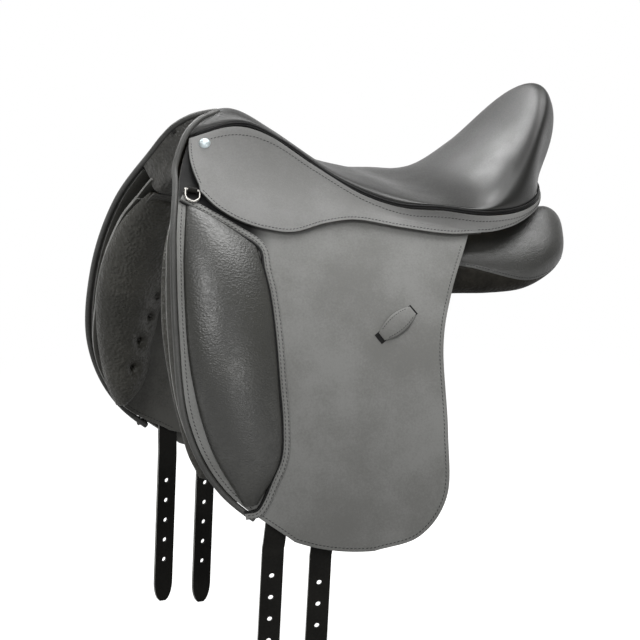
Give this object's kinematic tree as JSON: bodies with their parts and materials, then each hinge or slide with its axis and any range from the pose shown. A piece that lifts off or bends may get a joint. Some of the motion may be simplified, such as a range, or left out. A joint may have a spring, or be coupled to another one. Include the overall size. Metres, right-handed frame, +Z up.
{
  "type": "dressage saddle",
  "caption": "Dressage saddle with a deep seat, long straight flaps and skirts that lift, large knee blocks, hinged stirrup-bar catches and long girth straps with free ends.",
  "frame": {"origin": "on the plane of symmetry, at the level where the panels bear on the horse's back, under the middle of the seat", "axes": "+X from pommel to cantle, +Y to the off side, +Z up"},
  "size_m": [0.5193, 0.4686, 0.6536],
  "materials": {
    "seat_leather": "smooth black, soft sheen",
    "flap_leather": "smooth dark grey, matt",
    "grain_leather": "pebbled dark grey",
    "strap_leather": "smooth black",
    "tree_wood": "laminated beech",
    "steel": "satin",
    "chrome": "polished",
    "webbing": "woven",
    "foam": "soft foam"
  },
  "bodies": {
    "frame": {"tree_head": "tree_wood", "near_tree_point": "tree_wood", "off_tree_point": "tree_wood", "near_tree_rail": "tree_wood", "off_tree_rail": "tree_wood", "tree_cantle": "tree_wood", "gullet_plate": "steel", "gullet_rivets": "steel", "seat_web": "webbing", "front_girth_web": "webbing", "rear_girth_web": "webbing", "seat_foam": "foam", "seat_cover": "seat_leather", "seat_welt": "seat_leather", "pommel_facing": "grain_leather", "pommel_binding": "seat_leather", "pommel_studs": "chrome", "near_skirt": "flap_leather", "off_skirt": "flap_leather", "near_flap_top": "flap_leather", "off_flap_top": "flap_leather", "near_stirrup_bar": "steel", "off_stirrup_bar": "steel", "catch_pins": "steel", "near_sweat_flap": "grain_leather", "off_sweat_flap": "grain_leather", "near_panel": "grain_leather", "off_panel": "grain_leather", "channel_lining": "grain_leather", "near_panel_pad": "grain_leather", "off_panel_pad": "grain_leather", "near_point_pocket": "grain_leather", "off_point_pocket": "grain_leather", "near_front_strap": "strap_leather", "off_front_strap": "strap_leather", "near_rear_strap": "strap_leather", "off_rear_strap": "strap_leather"},
    "near_flap_body": {"near_flap_backing": "flap_leather", "near_flap": "flap_leather", "near_flap_binding": "seat_leather", "near_knee_block": "grain_leather", "near_keeper": "flap_leather", "near_dee_tab": "flap_leather"},
    "near_skirt_body": {"near_skirt_lobe": "flap_leather"},
    "near_dee_body": {"near_dee_ring": "chrome"},
    "near_catch_body": {"near_bar_catch": "steel"},
    "near_front_strap_body": {"near_front_strap_end": "strap_leather"},
    "near_rear_strap_body": {"near_rear_strap_end": "strap_leather"},
    "off_flap_body": {"off_flap_backing": "flap_leather", "off_flap": "flap_leather", "off_flap_binding": "seat_leather", "off_knee_block": "grain_leather", "off_keeper": "flap_leather", "off_dee_tab": "flap_leather"},
    "off_skirt_body": {"off_skirt_lobe": "flap_leather"},
    "off_dee_body": {"off_dee_ring": "chrome"},
    "off_catch_body": {"off_bar_catch": "steel"},
    "off_front_strap_body": {"off_front_strap_end": "strap_leather"},
    "off_rear_strap_body": {"off_rear_strap_end": "strap_leather"}
  },
  "joints": [
    {"name": "near_flap_lift", "type": "hinge", "parent": "frame", "child": "near_flap_body", "pos_m": [-0.04055, -0.10055, 0.09248], "axis": [-0.9633, 0.1699, 0.2079], "range_deg": [0, 65]},
    {"name": "near_skirt_lift", "type": "hinge", "parent": "near_flap_body", "child": "near_skirt_body", "pos_m": [-0.04055, -0.10055, 0.09248], "axis": [-0.9633, 0.1699, 0.2079], "range_deg": [0, 52]},
    {"name": "near_dee_swing", "type": "hinge", "parent": "near_flap_body", "child": "near_dee_body", "pos_m": [-0.20714, -0.07409, 0.12148], "axis": [-0.9633, 0.1699, 0.2079], "range_deg": [0, 100]},
    {"name": "near_catch_turn", "type": "hinge", "parent": "frame", "child": "near_catch_body", "pos_m": [-0.14593, -0.08049, 0.09287], "axis": [0.0222, -0.7214, 0.6921], "range_deg": [0, 30]},
    {"name": "near_front_strap_swing", "type": "hinge", "parent": "frame", "child": "near_front_strap_body", "pos_m": [-0.15637, -0.18615, -0.25881], "axis": [-0.9835, 0.1734, 0.0523], "range_deg": [-35, 60]},
    {"name": "near_rear_strap_swing", "type": "hinge", "parent": "frame", "child": "near_rear_strap_body", "pos_m": [-0.10436, -0.19532, -0.27004], "axis": [-0.9835, 0.1734, 0.0523], "range_deg": [-35, 60]},
    {"name": "off_flap_lift", "type": "hinge", "parent": "frame", "child": "off_flap_body", "pos_m": [-0.04055, 0.10055, 0.09248], "axis": [0.9633, 0.1699, -0.2079], "range_deg": [0, 65]},
    {"name": "off_skirt_lift", "type": "hinge", "parent": "off_flap_body", "child": "off_skirt_body", "pos_m": [-0.04055, 0.10055, 0.09248], "axis": [0.9633, 0.1699, -0.2079], "range_deg": [0, 52]},
    {"name": "off_dee_swing", "type": "hinge", "parent": "off_flap_body", "child": "off_dee_body", "pos_m": [-0.20714, 0.07409, 0.12148], "axis": [0.9633, 0.1699, -0.2079], "range_deg": [0, 100]},
    {"name": "off_catch_turn", "type": "hinge", "parent": "frame", "child": "off_catch_body", "pos_m": [-0.14593, 0.08049, 0.09287], "axis": [-0.0222, -0.7214, -0.6921], "range_deg": [0, 30]},
    {"name": "off_front_strap_swing", "type": "hinge", "parent": "frame", "child": "off_front_strap_body", "pos_m": [-0.15637, 0.18615, -0.25881], "axis": [0.9835, 0.1734, -0.0523], "range_deg": [-35, 60]},
    {"name": "off_rear_strap_swing", "type": "hinge", "parent": "frame", "child": "off_rear_strap_body", "pos_m": [-0.10436, 0.19532, -0.27004], "axis": [0.9835, 0.1734, -0.0523], "range_deg": [-35, 60]}
  ]
}
